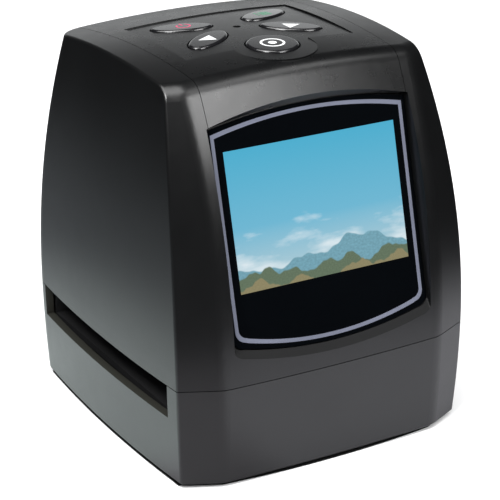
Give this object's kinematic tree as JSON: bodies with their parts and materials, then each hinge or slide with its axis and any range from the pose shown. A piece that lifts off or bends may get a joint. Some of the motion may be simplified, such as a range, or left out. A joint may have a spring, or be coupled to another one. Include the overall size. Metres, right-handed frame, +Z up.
{
  "type": "film negative scanner",
  "caption": "Rounded desk-top film scanner with a colour screen in its leaning front, keys and a status light on the roof, and a slot right through the base for a film holder.",
  "frame": {"origin": "on the table, under the middle of the overall box", "axes": "+X to the viewer's right, along the film slot; +Y to the back; +Z up; the screen faces -Y"},
  "size_m": [0.0884, 0.0908, 0.103],
  "materials": {
    "upper_casing": "fine satin texture",
    "lower_casing": "fine satin texture",
    "panel": "satin",
    "window": "polished, with a printed line and a clear field",
    "keys": "satin gloss",
    "switch_plungers": "plain",
    "switches": "plain",
    "light_pipe": "clear",
    "boards": "solder mask",
    "display": "lit picture",
    "bracket": "plain",
    "screws": "plated",
    "film_guides": "matt, against stray light",
    "lens_mouldings": "matt",
    "lenses": "polished",
    "filter": "coated",
    "chips": "moulded",
    "lights": "clear over white",
    "white_box": "matt white",
    "diffuser": "frosted",
    "socket_metal": "plated",
    "socket_plastic": "plain",
    "connectors": "plain",
    "ribbons": "smooth film",
    "feet": "plain"
  },
  "bodies": {
    "housing": {"upper_shell": "upper_casing", "lower_shell": "lower_casing", "top_panel": "panel", "display_window": "window", "power_switch": "switches", "menu_switch": "switches", "left_switch": "switches", "right_switch": "switches", "scan_switch": "switches", "status_light": "light_pipe", "button_board": "boards", "backlight_board": "boards", "main_board": "boards", "sensor_board": "boards", "lcd_panel": "display", "lcd_bracket": "bracket", "button_board_screws": "screws", "bracket_screws": "screws", "bed_screws": "screws", "backlight_screws": "screws", "chassis_screws": "screws", "holder_screws": "screws", "main_board_screws": "screws", "case_screws": "screws", "film_bed": "film_guides", "camera_chassis": "film_guides", "camera_tunnel": "film_guides", "lens_holder": "lens_mouldings", "lens_barrel": "lens_mouldings", "front_lens": "lenses", "rear_lens": "lenses", "infrared_filter": "filter", "image_sensor": "chips", "main_chip": "chips", "backlight_leds": "lights", "light_box": "white_box", "diffuser": "diffuser", "card_socket": "socket_metal", "usb_socket": "socket_metal", "av_socket": "socket_plastic", "ribbon_connectors": "connectors", "lcd_ribbon": "ribbons", "keypad_ribbon": "ribbons", "sensor_ribbon": "ribbons", "backlight_ribbon": "ribbons", "front_left_foot": "feet", "front_right_foot": "feet", "back_left_foot": "feet", "back_right_foot": "feet"},
    "power_key": {"power_button": "keys", "power_plunger": "switch_plungers"},
    "menu_key": {"menu_button": "keys", "menu_plunger": "switch_plungers"},
    "left_key": {"left_button": "keys", "left_plunger": "switch_plungers"},
    "right_key": {"right_button": "keys", "right_plunger": "switch_plungers"},
    "scan_key": {"scan_button": "keys", "scan_plunger": "switch_plungers"}
  },
  "joints": [
    {"name": "power_press", "type": "slide", "parent": "housing", "child": "power_key", "axis": [0, 0, -1], "range_m": [0, 0.0005], "stiffness_N_per_m": 2000, "springref_m": -0.0004},
    {"name": "menu_press", "type": "slide", "parent": "housing", "child": "menu_key", "axis": [0, 0, -1], "range_m": [0, 0.0005], "stiffness_N_per_m": 2000, "springref_m": -0.0004},
    {"name": "left_press", "type": "slide", "parent": "housing", "child": "left_key", "axis": [0, 0, -1], "range_m": [0, 0.0005], "stiffness_N_per_m": 2000, "springref_m": -0.0004},
    {"name": "right_press", "type": "slide", "parent": "housing", "child": "right_key", "axis": [0, 0, -1], "range_m": [0, 0.0005], "stiffness_N_per_m": 2000, "springref_m": -0.0004},
    {"name": "scan_press", "type": "slide", "parent": "housing", "child": "scan_key", "axis": [0, 0, -1], "range_m": [0, 0.0005], "stiffness_N_per_m": 2000, "springref_m": -0.0004}
  ]
}
